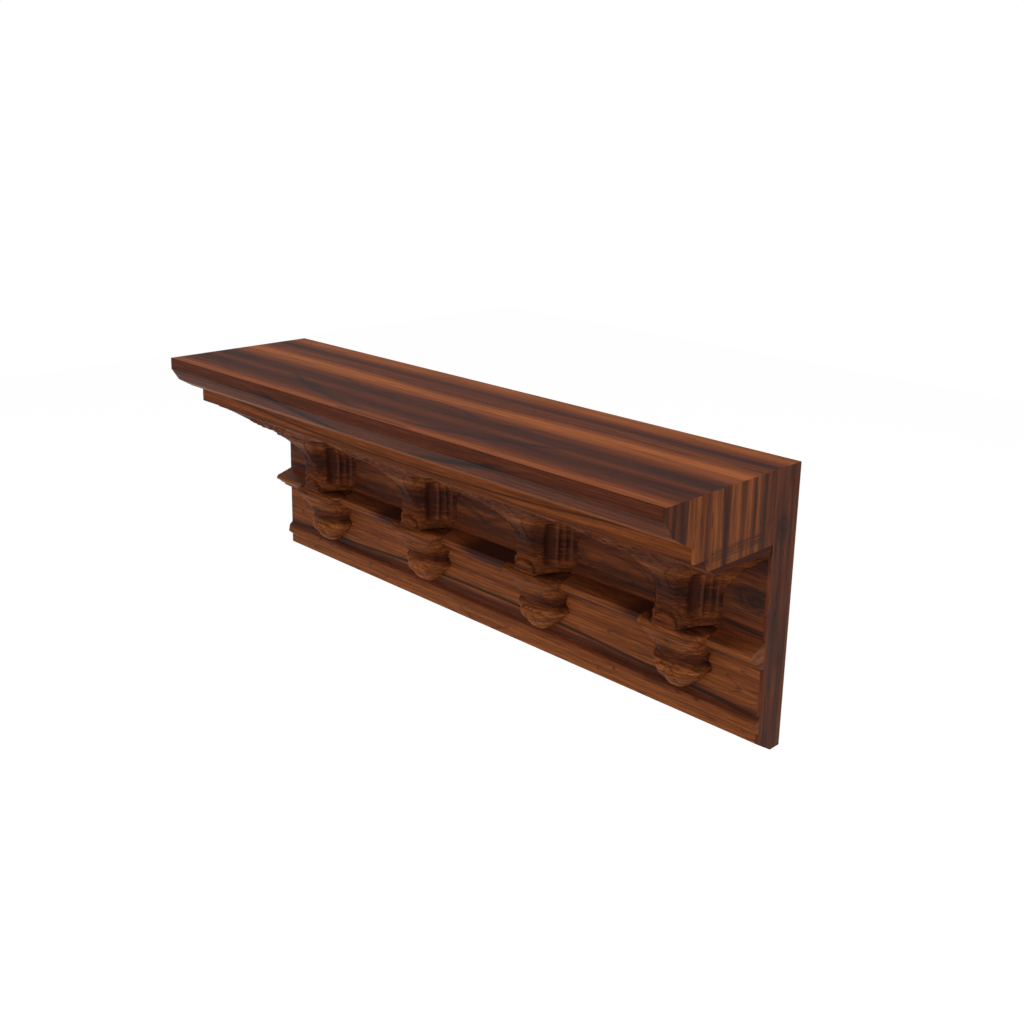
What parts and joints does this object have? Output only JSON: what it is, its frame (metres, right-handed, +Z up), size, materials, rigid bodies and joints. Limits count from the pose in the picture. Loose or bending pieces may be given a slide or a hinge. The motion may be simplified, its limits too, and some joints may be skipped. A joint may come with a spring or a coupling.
{
  "type": "wall shelf",
  "caption": "Wall shelf with a moulded cornice top over a carved arcade of fanned brackets, base blocks and bud pendants on a frieze panel, hung on keyhole plates.",
  "frame": {"origin": "middle of the back face that lies on the wall, half way along the shelf and half way up its height", "axes": "+X along the shelf to the right seen from the room, +Y into the wall, +Z up, so the shelf stands out along -Y"},
  "size_m": [0.6096, 0.1587, 0.2286],
  "materials": {
    "shelf_wood": "satin lacquer",
    "fillet_wood": "satin lacquer",
    "bed_wood": "satin lacquer",
    "cap_wood": "satin lacquer",
    "back_wood": "bare sanded wood",
    "frieze_wood": "satin lacquer",
    "carving_wood": "satin lacquer",
    "ledge_wood": "satin lacquer",
    "bead_wood": "satin lacquer",
    "plated_steel": "zinc plated",
    "tongue_wood": "bare wood"
  },
  "bodies": {
    "root": {"back_board": "back_wood", "base_block_1": "carving_wood", "base_block_2": "carving_wood", "base_block_3": "carving_wood", "base_block_4": "carving_wood", "bead_moulding": "bead_wood", "bed_board": "bed_wood", "bracket_1": "carving_wood", "bracket_2": "carving_wood", "bracket_3": "carving_wood", "bracket_4": "carving_wood", "bracket_screws": "plated_steel", "end_cap_left": "cap_wood", "end_cap_right": "cap_wood", "fillet_board": "fillet_wood", "frieze_panel": "frieze_wood", "hanger_plate_left": "plated_steel", "hanger_plate_right": "plated_steel", "hanger_screws": "plated_steel", "ledge_1": "ledge_wood", "ledge_2": "ledge_wood", "ledge_3": "ledge_wood", "ledge_4": "ledge_wood", "ledge_5": "ledge_wood", "pendant_1": "carving_wood", "pendant_2": "carving_wood", "pendant_3": "carving_wood", "pendant_4": "carving_wood", "shelf_board": "shelf_wood", "tongues": "tongue_wood"}
  },
  "joints": []
}
